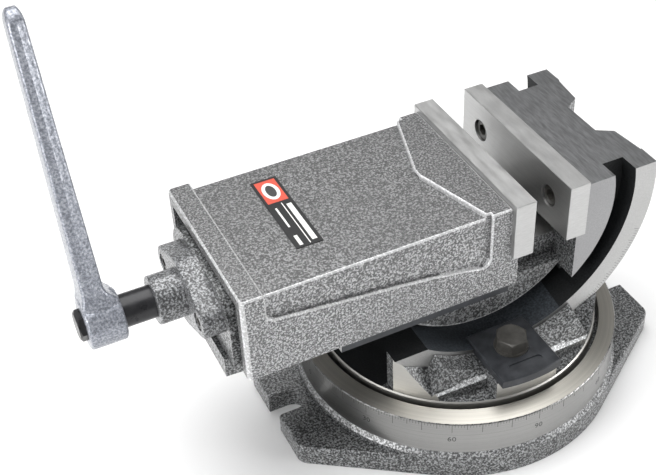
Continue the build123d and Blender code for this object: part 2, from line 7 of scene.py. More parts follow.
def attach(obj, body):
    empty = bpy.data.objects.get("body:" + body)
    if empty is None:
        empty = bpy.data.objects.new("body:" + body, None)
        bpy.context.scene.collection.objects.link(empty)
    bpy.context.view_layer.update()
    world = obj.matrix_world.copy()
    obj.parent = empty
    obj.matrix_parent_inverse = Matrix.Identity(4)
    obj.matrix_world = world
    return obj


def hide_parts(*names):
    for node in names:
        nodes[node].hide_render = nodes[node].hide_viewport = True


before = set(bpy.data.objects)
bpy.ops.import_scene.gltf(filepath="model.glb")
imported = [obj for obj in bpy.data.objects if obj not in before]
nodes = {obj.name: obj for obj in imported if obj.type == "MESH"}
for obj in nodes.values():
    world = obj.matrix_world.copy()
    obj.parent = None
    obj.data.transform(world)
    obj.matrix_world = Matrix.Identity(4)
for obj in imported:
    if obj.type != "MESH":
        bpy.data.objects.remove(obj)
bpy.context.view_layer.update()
print("stage: frame loaded")


# one small layer over Blender's shader nodes, so each finish reads as a recipe
class Recipe:
    def __init__(self, name):
        self.material = bpy.data.materials.new(name)
        self.material.use_nodes = True
        self.tree = self.material.node_tree
        self.shader = self.tree.nodes["Principled BSDF"]
        coords = self.tree.nodes.new("ShaderNodeTexCoord")
        self.place = coords.outputs["Object"]

    def link(self, value, socket):
        if isinstance(value, bpy.types.NodeSocket):
            self.tree.links.new(value, socket)
        else:
            socket.default_value = value

    def stretched(self, scale):
        node = self.tree.nodes.new("ShaderNodeMapping")
        node.inputs["Scale"].default_value = scale
        self.tree.links.new(self.place, node.inputs["Vector"])
        return node.outputs["Vector"]

    def noise(self, scale, detail=2.0, roughness=0.5, place=None):
        node = self.tree.nodes.new("ShaderNodeTexNoise")
        node.inputs["Scale"].default_value = scale
        node.inputs["Detail"].default_value = detail
        node.inputs["Roughness"].default_value = roughness
        self.tree.links.new(place or self.place, node.inputs["Vector"])
        return node.outputs["Fac"]

    def cells(self, scale):
        node = self.tree.nodes.new("ShaderNodeTexVoronoi")
        node.inputs["Scale"].default_value = scale
        self.tree.links.new(self.place, node.inputs["Vector"])
        return node.outputs["Distance"]

    def ramp(self, value, stops):
        node = self.tree.nodes.new("ShaderNodeValToRGB")
        band = node.color_ramp
        while len(band.elements) < len(stops):
            band.elements.new(0.5)
        for element, (position, colour) in zip(band.elements, stops):
            element.position = position
            element.color = (*colour, 1)
        self.tree.links.new(value, node.inputs["Fac"])
        return node.outputs["Color"]

    def grey(self, value, stops):
        return self.ramp(value, [(p, (g, g, g)) for p, g in stops])

    def maths(self, operation, a, b=0.0, c=None):
        node = self.tree.nodes.new("ShaderNodeMath")
        node.operation = operation
        self.link(a, node.inputs[0])
        self.link(b, node.inputs[1])
        if c is not None:
            self.link(c, node.inputs[2])
        return node.outputs[0]

    def mix(self, factor, a, b):
        node = self.tree.nodes.new("ShaderNodeMix")
        node.data_type = "RGBA"
        self.link(factor, node.inputs["Factor"])
        for socket, value in ((node.inputs[6], a), (node.inputs[7], b)):
            if not isinstance(value, bpy.types.NodeSocket):
                value = (*value, 1)
            self.link(value, socket)
        return node.outputs[2]

    def bump(self, height, strength, distance):
        node = self.tree.nodes.new("ShaderNodeBump")
        node.inputs["Strength"].default_value = strength
        node.inputs["Distance"].default_value = distance
        self.tree.links.new(height, node.inputs["Height"])
        return node.outputs["Normal"]

    def finish(self, colour, roughness, metallic=0.0, normal=None, coat=0.0,
               coatRoughness=0.1, specular=0.5):
        self.link(colour if isinstance(colour, bpy.types.NodeSocket) else (*colour, 1),
                  self.shader.inputs["Base Color"])
        self.link(roughness, self.shader.inputs["Roughness"])
        self.link(metallic, self.shader.inputs["Metallic"])
        self.shader.inputs["Specular IOR Level"].default_value = specular
        self.shader.inputs["Coat Weight"].default_value = coat
        self.shader.inputs["Coat Roughness"].default_value = coatRoughness
        if normal is not None:
            self.tree.links.new(normal, self.shader.inputs["Normal"])
        return self.material


# hammered enamel: light flake in the middle of each small cell, dark between the cells
hammered = dict(
    castGrain=760, castDark=0.026, castLight=0.36,
    hoodGrain=820, hoodDark=0.075, hoodLight=0.33,
    # the flank pair is a lighter copy of the hood pair: painted light on the hood's sideways faces
    litFlankDark=0.10, litFlankLight=0.56,
    relief=0.0004,
)


def hammeredPaint(name, grain, dark, light, relief, tint=(1.0, 1.0, 1.0), gloss=0.35):
    r = Recipe(name)
    fine = r.noise(grain, 3.0, 0.7)
    cell = r.cells(grain * 0.9)
    mixed = r.maths("MULTIPLY_ADD", cell, -0.22, fine)
    shade = r.ramp(mixed, [(0.33, [dark * c for c in tint]),
                           (0.40, [(dark * 0.55 + light * 0.45) * 0.8 * c for c in tint]),
                           (0.50, [light * c for c in tint])])
    broad = r.noise(22, 2.0)
    shade = r.mix(r.grey(broad, [(0.35, 0.0), (0.68, 0.25)]), shade, [dark * 1.6 * c for c in tint])
    normal = r.bump(mixed, 0.8, relief)
    rough = r.grey(mixed, [(0.25, 0.55), (0.5, 0.30)])
    return r.finish(shade, rough, 0.25, normal, coat=gloss, coatRoughness=0.2)


castPaint = hammeredPaint("castPaint", hammered["castGrain"], hammered["castDark"],
                          hammered["castLight"], hammered["relief"], (0.96, 0.985, 1.0), 0.45)
hoodPaint = hammeredPaint("hoodPaint", hammered["hoodGrain"], hammered["hoodDark"],
                          hammered["hoodLight"], hammered["relief"], (0.985, 0.99, 1.0), 0.35)
# lighter copy of the hood's hammered paint, for the hood's sideways faces: painted light
litFlankPaint = hammeredPaint("litFlankPaint", hammered["hoodGrain"], hammered["litFlankDark"],
                           hammered["litFlankLight"], hammered["relief"], (0.975, 0.985, 1.0), 0.35)
# pale copy of the hood's paint for its rounded edges: painted highlight
hoodEdgeHighlight = hammeredPaint("hoodEdgeHighlight", hammered["hoodGrain"], 0.42, 0.78, hammered["relief"] * 0.4,
                         (0.985, 0.99, 1.0), 0.6)
# pale copy of the cast paint for rounded cast edges: painted highlight
castEdgeHighlight = hammeredPaint("castEdgeHighlight", hammered["castGrain"], 0.26, 0.85, hammered["relief"] * 0.6,
                         (0.97, 0.985, 1.0), 0.6)
# lighter copy of the cast paint for the base's sloping shoulder: painted highlight
shoulderHighlight = hammeredPaint("shoulderHighlight", hammered["castGrain"], 0.07, 0.52,
                              hammered["relief"], (0.97, 0.985, 1.0), 0.5)
# darker copy of the cast paint for the cheeks' faces below the bevel: painted shade
footShade = hammeredPaint("footShade", hammered["castGrain"], 0.014, 0.16,
                          hammered["relief"], (0.96, 0.985, 1.0), 0.35)
flangePaint = hammeredPaint("flangePaint", hammered["castGrain"], 0.05, 0.42,
                            hammered["relief"] * 1.5, (0.95, 0.97, 1.0), 0.5)


# ground steel: long fine scratches along one axis over a cloudy sheen
def groundMetal(name, colour, roughness, stretch, depth=0.00003, cloud=0.08, dark=0.8,
                metallic=1.0):
    r = Recipe(name)
    lines = r.noise(1.0, 4.0, 0.6, r.stretched(stretch))
    clouds = r.noise(48, 2.0)
    tone = r.mix(r.grey(lines, [(0.3, 0.0), (0.7, 1.0)]), [c * dark for c in colour], colour)
    tone = r.mix(r.grey(clouds, [(0.35, 0.0), (0.75, cloud * 3)]), tone, [c * 0.72 for c in colour])
    rough = r.maths("MULTIPLY_ADD", lines, 0.22, roughness - 0.1)
    return r.finish(tone, rough, metallic, r.bump(lines, 0.35, depth))


# turned steel: rings round the swivel axis, so the scratches follow radius and height
def turnedMetal(name, colour, roughness, rings=2600, dark=0.72):
    r = Recipe(name)
    split = r.tree.nodes.new("ShaderNodeSeparateXYZ")
    r.tree.links.new(r.place, split.inputs[0])
    flat = r.maths("ADD", r.maths("MULTIPLY", split.outputs[0], split.outputs[0]),
                   r.maths("MULTIPLY", split.outputs[1], split.outputs[1]))
    radius = r.maths("SQRT", flat)
    join = r.tree.nodes.new("ShaderNodeCombineXYZ")
    r.tree.links.new(radius, join.inputs[0])
    r.tree.links.new(split.outputs[2], join.inputs[2])
    lines = r.noise(rings, 3.0, 0.6, join.outputs[0])
    clouds = r.noise(26, 3.0)
    tone = r.mix(r.grey(lines, [(0.3, 0.0), (0.7, 1.0)]), [c * dark for c in colour], colour)
    tone = r.mix(r.grey(clouds, [(0.4, 0.0), (0.75, 0.35)]), tone, [c * 0.7 for c in colour])
    rough = r.maths("MULTIPLY_ADD", lines, 0.2, roughness - 0.1)
    return r.finish(tone, rough, 1.0, r.bump(lines, 0.3, 0.00003))


plateSteel = groundMetal("plateSteel", (0.58, 0.58, 0.575), 0.42, (260, 60, 2600))
sideSteel = groundMetal("sideSteel", (0.52, 0.52, 0.515), 0.45, (900, 200, 900))
# darker copy of sideSteel for the block's sides, which lie in the rim's side planes: painted shade
shadedBlockSteel = groundMetal("shadedBlockSteel", (0.37, 0.37, 0.375), 0.45, (900, 200, 900))
topSteel = groundMetal("topSteel", (0.30, 0.305, 0.31), 0.42, (700, 90, 300), dark=0.62)
plainSteel = groundMetal("plainSteel", (0.55, 0.55, 0.54), 0.34, (2400, 300, 300))
bronze = groundMetal("bronze", (0.62, 0.43, 0.20), 0.34, (2400, 300, 300))
scaleSteel = turnedMetal("scaleSteel", (0.37, 0.368, 0.36), 0.30)
landSteel = turnedMetal("landSteel", (0.56, 0.54, 0.49), 0.40)
saddleSteel = turnedMetal("saddleSteel", (0.60, 0.59, 0.56), 0.42)


def blackOxide(name, colour, roughness, wear):
    r = Recipe(name)
    blotch = r.noise(130, 4.0, 0.6)
    fine = r.noise(1800, 2.0)
    worn = [c * 2.6 + 0.02 for c in colour]
    tone = r.mix(r.grey(blotch, [(0.35, 0.0), (0.75, wear)]), colour, worn)
    rough = r.maths("MULTIPLY_ADD", blotch, 0.25, roughness - 0.12)
    return r.finish(tone, rough, 0.15, r.bump(fine, 0.15, 0.00004), coat=0.08, coatRoughness=0.3,
                    specular=0.35)


blackSteel = blackOxide("blackSteel", (0.024, 0.026, 0.030), 0.40, 0.4)
boltSteel = blackOxide("boltSteel", (0.042, 0.040, 0.036), 0.34, 0.5)
shaftSteel = blackOxide("shaftSteel", (0.020, 0.020, 0.022), 0.30, 0.35)


# dark non-metal sheets with grit and blotches, laid on hollows and inner walls: painted shade
def roughPaint(name, colour, grain, roughness):
    r = Recipe(name)
    grit = r.noise(grain, 3.0, 0.6)
    stain = r.noise(40, 3.0)
    low, high = [c * 0.5 for c in colour], [c * 1.7 for c in colour]
    tone = r.mix(r.grey(grit, [(0.35, 0.0), (0.7, 1.0)]), low, high)
    tone = r.mix(r.grey(stain, [(0.4, 0.0), (0.75, 0.5)]), tone, [c * 0.6 for c in colour])
    return r.finish(tone, roughness, 0.0, r.bump(grit, 0.4, 0.00015), specular=0.3)


# near-black sheet for the groove, the cradle pocket and the rim's end cuts: painted shade
grooveShade = roughPaint("grooveShade", (0.010, 0.011, 0.012), 900, 0.6)
# dark blue-grey non-metal sheet for the rim's machined inner wall: painted shade
rimInsideShade = roughPaint("rimInsideShade", (0.045, 0.052, 0.060), 700, 0.42)


def printedFoil(name, colour, colourTwo):
    r = Recipe(name)
    grain = r.noise(900, 2.0)
    tone = r.mix(r.grey(grain, [(0.4, 0.0), (0.7, 0.4)]), colour, colourTwo)
    return r.finish(tone, 0.42, 0.0, r.bump(grain, 0.08, 0.00003), coat=0.15)


foil = printedFoil("foil", (0.004, 0.004, 0.005), (0.008, 0.008, 0.009))
redPrint = printedFoil("redPrint", (0.62, 0.085, 0.05), (0.50, 0.06, 0.035))
whitePrint = printedFoil("whitePrint", (0.82, 0.82, 0.80), (0.70, 0.70, 0.68))
inkPrint = printedFoil("inkPrint", (0.035, 0.035, 0.035), (0.06, 0.06, 0.06))


def crankPaint():
    r = Recipe("crankPaint")
    flake = r.noise(700, 3.0, 0.6)
    tone = r.ramp(flake, [(0.34, (0.13, 0.14, 0.165)), (0.5, (0.26, 0.275, 0.315)),
                          (0.64, (0.43, 0.445, 0.49))])
    rough = r.grey(flake, [(0.3, 0.42), (0.65, 0.28)])
    return r.finish(tone, rough, 0.35, r.bump(flake, 0.35, 0.00015), coat=0.4, coatRoughness=0.2)


crankFinish = crankPaint()

nodeFinish = {
    "base_casting": castPaint, "swivel_cradle": castPaint, "pivot_pin": plainSteel,
    "tee_nuts": plainSteel, "bed_casting": castPaint, "bearing_flange": flangePaint,
    "front_clamp_plate": blackSteel, "rear_clamp_plate": blackSteel,
    "front_clamp_washer": boltSteel, "rear_clamp_washer": boltSteel,
    "front_clamp_bolt": boltSteel, "rear_clamp_bolt": boltSteel,
    "fixed_jaw_plate": plateSteel, "moving_jaw_plate": plateSteel,
    "fixed_jaw_screws": boltSteel, "moving_jaw_screws": boltSteel, "jaw_strips": blackSteel,
    "moving_jaw_casting": hoodPaint, "jaw_keeper": plainSteel, "keeper_screws": boltSteel,
    "screw_nut": bronze, "nut_screws": boltSteel, "name_plate": foil,
    "flange_screws": boltSteel, "lead_screw": shaftSteel, "thrust_ring": plainSteel,
    "crank_handle": crankFinish}
for nodeName, finish in nodeFinish.items():
    mesh = nodes[nodeName].data
    mesh.materials.clear()
    mesh.materials.append(finish)


# gives another finish to the faces that chosen picks from centres in mm and unit normals
def paintFaces(node, finish, chosen):
    mesh = nodes[node].data
    count = len(mesh.polygons)
    centres, normals = np.empty(count * 3), np.empty(count * 3)
    slots = np.zeros(count, dtype=np.int32)
    mesh.polygons.foreach_get("center", centres)
    mesh.polygons.foreach_get("normal", normals)
    mesh.polygons.foreach_get("material_index", slots)
    picked = chosen(centres.reshape(-1, 3) * 1000, normals.reshape(-1, 3))
    if not picked.any():
        raise ValueError(f"no face of {node} was picked for {finish.name}")
    mesh.materials.append(finish)
    slots[picked] = len(mesh.materials) - 1
    mesh.polygons.foreach_set("material_index", slots)


def flatRadius(points):
    return np.hypot(points[:, 0], points[:, 1])


# where the castings' machined and painted areas lie, in millimetres
area = dict(scaleRadius=108.3, scaleLow=21, landInner=97.4, landLow=46.3, recess=37.9,
                saddleRadius=93.5, tableTop=51, rimSide=60.4, bedTop=169.5, tiltCentre=154.7,
                rimInner=90.4, blockRadius=75.7,
            wayTop=120.5, hullLedge=104)


def tiltRadius(points):
    return np.hypot(points[:, 0], points[:, 2] - area["tiltCentre"])


# the sloping shoulder round the base gets the lighter copy: painted highlight
paintFaces("base_casting", shoulderHighlight, lambda c, n: (c[:, 2] > 17.4) & (c[:, 2] < 21)
           & (flatRadius(c) > 108) & (n[:, 2] > 0.2) & (n[:, 2] < 0.95))
paintFaces("base_casting", scaleSteel, lambda c, n: (abs(flatRadius(c) - area["scaleRadius"]) < 0.4)
           & (c[:, 2] > area["scaleLow"]) & (abs(n[:, 2]) < 0.9))
paintFaces("base_casting", landSteel, lambda c, n: (c[:, 2] > area["landLow"]) & (n[:, 2] > 0.5))
paintFaces("base_casting", saddleSteel, lambda c, n: (c[:, 2] > area["recess"])
           & (flatRadius(c) < area["landInner"] + 0.1) & (n[:, 2] < 0.5))
paintFaces("swivel_cradle", saddleSteel, lambda c, n: (c[:, 2] < area["tableTop"] + 0.1)
           & (flatRadius(c) > area["saddleRadius"] - 0.6))
paintFaces("swivel_cradle", saddleSteel, lambda c, n: (abs(n[:, 2]) < 0.1) & (c[:, 0] < 30)
           & (abs(flatRadius(c) - area["saddleRadius"]) < 0.4) & (c[:, 2] > area["tableTop"]))
# the steep faces at the foot of each cradle cheek get the darker copy: painted shade
paintFaces("swivel_cradle", footShade, lambda c, n: (abs(c[:, 1]) > 61) & (c[:, 2] > 50.5)
           & (c[:, 2] < 58.5) & (abs(n[:, 1]) > 0.8) & (n[:, 2] > 0.01)
           & (flatRadius(c) < area["saddleRadius"] - 0.2) & (abs(c[:, 0]) > 22.1))
# the narrow bevel along the foot of each cradle cheek gets the pale copy: painted highlight
paintFaces("swivel_cradle", castEdgeHighlight, lambda c, n: (abs(c[:, 1]) > 73) & (c[:, 2] > 54)
           & (c[:, 2] < 61) & (n[:, 2] > 0.3) & (n[:, 2] < 0.72) & (abs(n[:, 0]) < 0.5)
           & (abs(c[:, 0]) > 22.1))
# the cradle's pocket between the cheeks gets the near-black sheet: painted shade
paintFaces("swivel_cradle", grooveShade, lambda c, n: (abs(c[:, 1]) < 47.2) & (c[:, 2] < 60.5)
           & (flatRadius(c) < area["saddleRadius"] - 1) & (c[:, 2] > 50))
paintFaces("bed_casting", sideSteel, lambda c, n: (abs(abs(c[:, 1]) - area["rimSide"]) < 0.1)
           & (abs(n[:, 1]) > 0.99))
# the block's part of the rim's side planes gets the darker copy: painted shade
paintFaces("bed_casting", shadedBlockSteel, lambda c, n: (abs(abs(c[:, 1]) - area["rimSide"]) < 0.1)
           & (abs(n[:, 1]) > 0.99) & (tiltRadius(c) < area["blockRadius"] + 0.5))
paintFaces("bed_casting", topSteel, lambda c, n: (abs(c[:, 2] - area["bedTop"]) < 0.1)
           & (n[:, 2] > 0.99))
paintFaces("bed_casting", plainSteel, lambda c, n: (abs(c[:, 2] - area["wayTop"]) < 0.1)
           & (n[:, 2] > 0.99))


# faces of a rounded edge: their normals lie along none of the three axes
def roundedEdge(n, limit=0.985):
    return np.abs(n).max(axis=1) < limit


# the hood's sideways faces get the lighter copy of its paint: painted light
paintFaces("moving_jaw_casting", litFlankPaint, lambda c, n: (abs(n[:, 1]) > 0.9)
           & (abs(c[:, 1]) > 50))
paintFaces("jaw_strips", plainSteel, lambda c, n: n[:, 0] < -0.9)
# rounded edges of the hood, high up and on its sides, get the pale copy: painted highlight
paintFaces("moving_jaw_casting", hoodEdgeHighlight, lambda c, n: roundedEdge(n) & (c[:, 2] > 125)
           & ((c[:, 2] > 165) | (abs(c[:, 1]) > 54)))
# the rounded lower edges of the bed's hull get the pale copy: painted highlight
paintFaces("bed_casting", castEdgeHighlight, lambda c, n: roundedEdge(n) & (abs(c[:, 1]) > 43)
           & (abs(c[:, 1]) < 46.79) & (c[:, 2] < area["hullLedge"]) & (abs(n[:, 1]) > 0.1))


# the near part of the rim's machined inner wall gets the dark sheet: painted shade
paintFaces("bed_casting", rimInsideShade, lambda c, n: (abs(tiltRadius(c) - area["rimInner"]) < 0.6)
           & (abs(n[:, 1]) < 0.1) & (c[:, 0] < 45))
# the far part of the rim's inner wall, the groove floor round the block and the rim's end cuts get
# the near-black sheet: painted shade
paintFaces("bed_casting", grooveShade, lambda c, n: (abs(tiltRadius(c) - area["rimInner"]) < 0.6)
           & (abs(n[:, 1]) < 0.1) & (c[:, 0] >= 45))
paintFaces("bed_casting", grooveShade, lambda c, n: (tiltRadius(c) < area["rimInner"] + 0.3)
           & (tiltRadius(c) > area["blockRadius"] - 0.3) & (abs(c[:, 1]) < 60) & (c[:, 0] > 49)
           & (c[:, 2] < area["bedTop"] - 0.1))
paintFaces("bed_casting", grooveShade, lambda c, n: (abs(c[:, 2] - 82) < 0.1) & (c[:, 0] < 0))
print("stage: finishes made")


# quads of a grid of rows by columns, with the columns, and if asked the rows, joined in a ring
def gridFaces(rows, columns, ringRows=False, ringColumns=True):
    i = np.arange(rows if ringRows else rows - 1)[:, None]
    j = np.arange(columns if ringColumns else columns - 1)[None, :]
    nextI, nextJ = (i + 1) % rows, (j + 1) % columns
    quads = np.stack([i * columns + j, i * columns + nextJ, nextI * columns + nextJ,
                      nextI * columns + j], axis=-1)
    return quads.reshape(-1, 4).tolist()


def makePiece(name, points, faces, finish, body, sharpAngle=40, replaced=()):
    mesh = bpy.data.meshes.new(name)
    mesh.from_pydata(np.asarray(points).reshape(-1, 3).tolist(), [], faces)
    mesh.materials.append(finish)
    mesh.polygons.foreach_set("use_smooth", [True] * len(mesh.polygons))
    mesh.set_sharp_from_angle(angle=math.radians(sharpAngle))
    mesh.validate()
    mesh.update()
    piece = bpy.data.objects.new(name, mesh)
    bpy.context.scene.collection.objects.link(piece)
    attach(piece, body)
    if replaced:
        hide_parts(*replaced)
    return piece


# crank: a rounded six-sided section with a parting ridge, carried along a leaning line,
# flared where it grows out of a ring-shaped hub with a hexagon hole
crank = dict(axisHeight=139.5, lean=18.0, length=183.6, armX=-237.2, hubFront=-246.0,
             hubBack=-223.5, hubRadius=15.9, hexFlats=17.16, nearSize=(13.6, 27.4),
             farSize=(9.8, 17.2), flare=8.2, flareReach=5.0, tip=9.0, corner=2.4, ridge=0.055)


# outline with round corners: four flat runs and four quarter circles, bent out to the ridge
def armOutline(thickness, width, corner, ridge, steps=6):
    turn = np.linspace(0, np.pi / 2, steps)
    starts = np.array([0, 1, 2, 3]) * np.pi / 2
    angles = (starts[:, None] + turn[None, :]).ravel()
    signX = np.repeat([1, -1, -1, 1], steps)
    signY = np.repeat([1, 1, -1, -1], steps)
    body = width * (0.5 - ridge)
    x = signX * (thickness / 2 - corner) + corner * np.cos(angles)
    y = signY * (body - corner) + corner * np.sin(angles)
    x = np.insert(x, [steps, 3 * steps], [0, 0])
    y = np.insert(y, [steps, 3 * steps], [width / 2, -width / 2])
    return x, y


# arm: the outline shrinks evenly along its length, swells by a bell curve at the hub, and
# closes at the tip along a quarter circle; its middle moves from the hub's to the arm's
def buildCrank(c):
    lean = math.radians(c["lean"])
    tipTurn = np.sin(np.linspace(0.12, 1, 9) * np.pi / 2)
    along = np.concatenate([np.linspace(4, 26, 16), np.linspace(32, c["length"] - c["tip"], 22),
                            c["length"] - c["tip"] * (1 - tipTurn)])
    share = along / c["length"]
    intoTip = np.clip(along - c["length"] + c["tip"], 0, None) / c["tip"]
    shrink = np.sqrt(np.clip(1 - intoTip ** 2, 0.03, 1))
    flare = c["flare"] * np.exp(-np.clip(along - 12.5, 0, None) ** 2 / c["flareReach"] ** 2)
    thick = c["nearSize"][0] * (1 - share) + c["farSize"][0] * share + flare
    thick = thick * (0.45 + 0.55 * shrink)
    wide = (c["nearSize"][1] * (1 - share) + c["farSize"][1] * share) * shrink
    middle = c["armX"] + ((c["hubFront"] + c["hubBack"]) / 2 - c["armX"]) * flare / c["flare"]
    rings = []
    for t, w, d, m in zip(thick, wide, along, middle):
        x, y = armOutline(t, w, min(c["corner"], t * 0.3, w * 0.3), c["ridge"])
        rings.append(np.stack([m + x, y * math.cos(lean) + d * math.sin(lean),
                               c["axisHeight"] + d * math.cos(lean) - y * math.sin(lean)], axis=-1))
    arm = np.array(rings)
    rows, columns = arm.shape[:2]
    faces = gridFaces(rows, columns)
    faces.append(list(range(columns))[::-1])
    faces.append(list(range((rows - 1) * columns, rows * columns)))
    return arm.reshape(-1, 3), faces


# ring: radius swings between the hexagon hole and a rounded outer barrel, as a closed profile
def buildHub(c, segments=96, rounding=2.2):
    theta = np.linspace(0, 2 * np.pi, segments, endpoint=False)
    hexRadius = c["hexFlats"] / 2 / np.cos((theta + np.pi / 6) % (np.pi / 3) - np.pi / 6)
    arc = np.linspace(0, np.pi / 2, 6)
    front, back, outer = c["hubFront"], c["hubBack"], c["hubRadius"]
    profileX = np.concatenate([[front], front + rounding - rounding * np.cos(arc),
                               back - rounding + rounding * np.sin(arc), [back]])
    profileR = np.concatenate([[np.nan], outer - rounding + rounding * np.sin(arc),
                               outer - rounding + rounding * np.cos(arc), [np.nan]])
    radius = np.where(np.isnan(profileR)[:, None], hexRadius[None, :], profileR[:, None])
    points = np.stack([np.repeat(profileX[:, None], segments, axis=1),
                       radius * np.cos(theta), c["axisHeight"] + radius * np.sin(theta)], axis=-1)
    return points.reshape(-1, 3), gridFaces(len(profileX), segments, ringRows=True)


armPoints, armFaces = buildCrank(crank)
hubPoints, hubFaces = buildHub(crank)
offset = len(armPoints)
makePiece("crank_arm", np.concatenate([armPoints, hubPoints]) / 1000,
          armFaces + [[i + offset for i in face] for face in hubFaces], crankFinish,
          "crank", 32, ("crank_handle",))

# scale round the base: thin engraved strokes hanging from the cylinder's top edge
scaleMarks = dict(radius=108.3, top=46.0, short=2.2, middle=3.9, long=7.0, width=0.22,
                  longWidth=0.32, depth=0.05, start=-120.4, figureHeight=4.2, figureZ=32.9)


# faces of a box whose corners 0 to 3 lie inside and 4 to 7 outside, each set in turn
boxFaces = np.array([[4, 5, 6, 7], [1, 0, 3, 2], [0, 1, 5, 4], [2, 3, 7, 6], [1, 2, 6, 5],
                     [3, 0, 4, 7]])


# every stroke is a small box: its corner angles, heights and radii are worked out for all at once
def strokeBoxes(angles, lows, highs, halfWidths, radius, depth):
    side = np.array([-1, 1, 1, -1, -1, 1, 1, -1])
    isTop = np.array([0, 0, 1, 1, 0, 0, 1, 1])
    isOut = np.array([0, 0, 0, 0, 1, 1, 1, 1])
    around = angles[:, None] + side[None, :] * halfWidths[:, None] / radius
    height = np.where(isTop[None, :] == 1, highs[:, None], lows[:, None])
    out = radius - depth + isOut[None, :] * (depth + 0.03)
    points = np.stack([out * np.cos(around), out * np.sin(around), height], axis=-1)
    faces = (np.arange(len(angles))[:, None, None] * 8 + boxFaces[None]).reshape(-1, 4)
    return points.reshape(-1, 3), faces.tolist()


degree = np.arange(360)
lengths = np.where(degree % 10 == 0, scaleMarks["long"],
                   np.where(degree % 5 == 0, scaleMarks["middle"], scaleMarks["short"]))
strokeWidth = np.where(degree % 5 == 0, scaleMarks["longWidth"], scaleMarks["width"])
markPoints, markFaces = strokeBoxes(np.radians(degree + scaleMarks["start"]),
                                    scaleMarks["top"] - lengths,
                                    np.full(360, scaleMarks["top"]), strokeWidth / 2,
                                    scaleMarks["radius"], scaleMarks["depth"])
makePiece("swivel_scale", markPoints / 1000, markFaces, inkPrint, "base")


# figures as flat shapes of a little thickness, then bent round the cylinder
def figureMesh(text, height):
    curve = bpy.data.curves.new("figure", "FONT")
    curve.body, curve.size, curve.align_x, curve.align_y = text, height * 1.4, "CENTER", "CENTER"
    curve.resolution_u, curve.extrude = 2, 0.03
    holder = bpy.data.objects.new("figure", curve)
    bpy.context.scene.collection.objects.link(holder)
    bpy.context.view_layer.update()
    shape = holder.evaluated_get(bpy.context.evaluated_depsgraph_get()).to_mesh()
    points = np.empty(len(shape.vertices) * 3)
    shape.vertices.foreach_get("co", points)
    faces = [list(p.vertices) for p in shape.polygons]
    holder.to_mesh_clear()
    bpy.data.objects.remove(holder)
    return points.reshape(-1, 3), faces


# joins meshes by adding the number of points before each one to its faces' numbers
def joinParts(parts):
    points, faces, count = [], [], 0
    for partPoints, partFaces in parts:
        points.append(partPoints)
        faces += [[i + count for i in face] for face in partFaces]
        count += len(partPoints)
    return np.concatenate(points), faces


# a point's sideways distance divided by the radius is its angle, its depth adds to the radius
def bentFigure(text, angle, m):
    points, faces = figureMesh(text, m["figureHeight"])
    around = math.radians(angle) + points[:, 0] / m["radius"]
    out = m["radius"] + points[:, 2]
    return np.stack([out * np.cos(around), out * np.sin(around), m["figureZ"] + points[:, 1]],
                    axis=-1), faces


figures = [bentFigure(str(v), scaleMarks["start"] - 60 + 30 * k, scaleMarks)
           for k, v in enumerate((0, 30, 60, 90, 60, 30, 0, 30, 60, 90, 60, 30))]
figurePoints, figureFaces = joinParts(figures)
makePiece("swivel_figures", figurePoints / 1000, figureFaces, inkPrint, "base")

# tilt scale on the rim's flat side: strokes near the outer edge, on both sides
tiltMarks = dict(inner=102.6, outer=105.0, longInner=101.2, side=60.4, first=-100, last=-20,
                 width=0.22)


# the same box laid on a flat side: radius and angle from the tilt axis give x and z
def tiltStrokes(t, sign):
    angles = np.radians(np.arange(t["first"], t["last"] + 1, 1.0))
    longer = np.arange(len(angles)) % 5 == 0
    inner = np.where(longer, t["longInner"], t["inner"])
    side = np.array([-1, 1, 1, -1, -1, 1, 1, -1]) * t["width"] / 2
    isOuter = np.array([0, 0, 1, 1, 0, 0, 1, 1])
    depth = np.array([-0.05, -0.05, -0.05, -0.05, 0.03, 0.03, 0.03, 0.03])
    radius = np.where(isOuter[None, :] == 1, t["outer"], inner[:, None])
    x = radius * np.cos(angles)[:, None] - side[None, :] * np.sin(angles)[:, None]
    z = radius * np.sin(angles)[:, None] + side[None, :] * np.cos(angles)[:, None]
    y = np.broadcast_to(sign * (t["side"] + depth)[None, :], x.shape)
    points = np.stack([x, y, z + area["tiltCentre"]], axis=-1)
    box = boxFaces[:, ::-1] if sign > 0 else boxFaces
    faces = (np.arange(len(angles))[:, None, None] * 8 + box[None]).reshape(-1, 4)
    return points.reshape(-1, 3), faces[:, ::-1].tolist()


tiltPoints, tiltFaces = joinParts([tiltStrokes(tiltMarks, s) for s in (-1, 1)])
makePiece("tilt_scale", tiltPoints / 1000, tiltFaces, inkPrint, "tilting_bed")

# print on the plate: a red block with a white oval ring, and plain white rules
plateLook = dict(top=167.1, lift=0.05, sink=0.1, redX=(-120.6, -107.2), redY=(17.4, 40.2),
                 oval=(5.2, 8.6), ovalInset=(2.2, 2.6),
                 rules=(((-113.2, -112.6), (-26.5, 15.5)), ((-110.8, -107.6), (-24.5, 13.0)),
                        ((-118.6, -117.4), (-8.0, 12.0)), ((-119.4, -117.2), (-26.0, -16.5))))


# flat block: each corner takes the first or second of its x, y and height
def flatPatch(xs, ys, low, high):
    corner = np.array([[0, 0, 0], [1, 0, 0], [1, 1, 0], [0, 1, 0],
                       [0, 0, 1], [1, 0, 1], [1, 1, 1], [0, 1, 1]])
    points = np.stack([np.array(xs)[corner[:, 0]], np.array(ys)[corner[:, 1]],
                       np.array([low, high])[corner[:, 2]]], axis=-1)
    return points, [[3, 2, 1, 0], [4, 5, 6, 7], [0, 1, 5, 4], [1, 2, 6, 5], [2, 3, 7, 6],
                    [3, 0, 4, 7]]


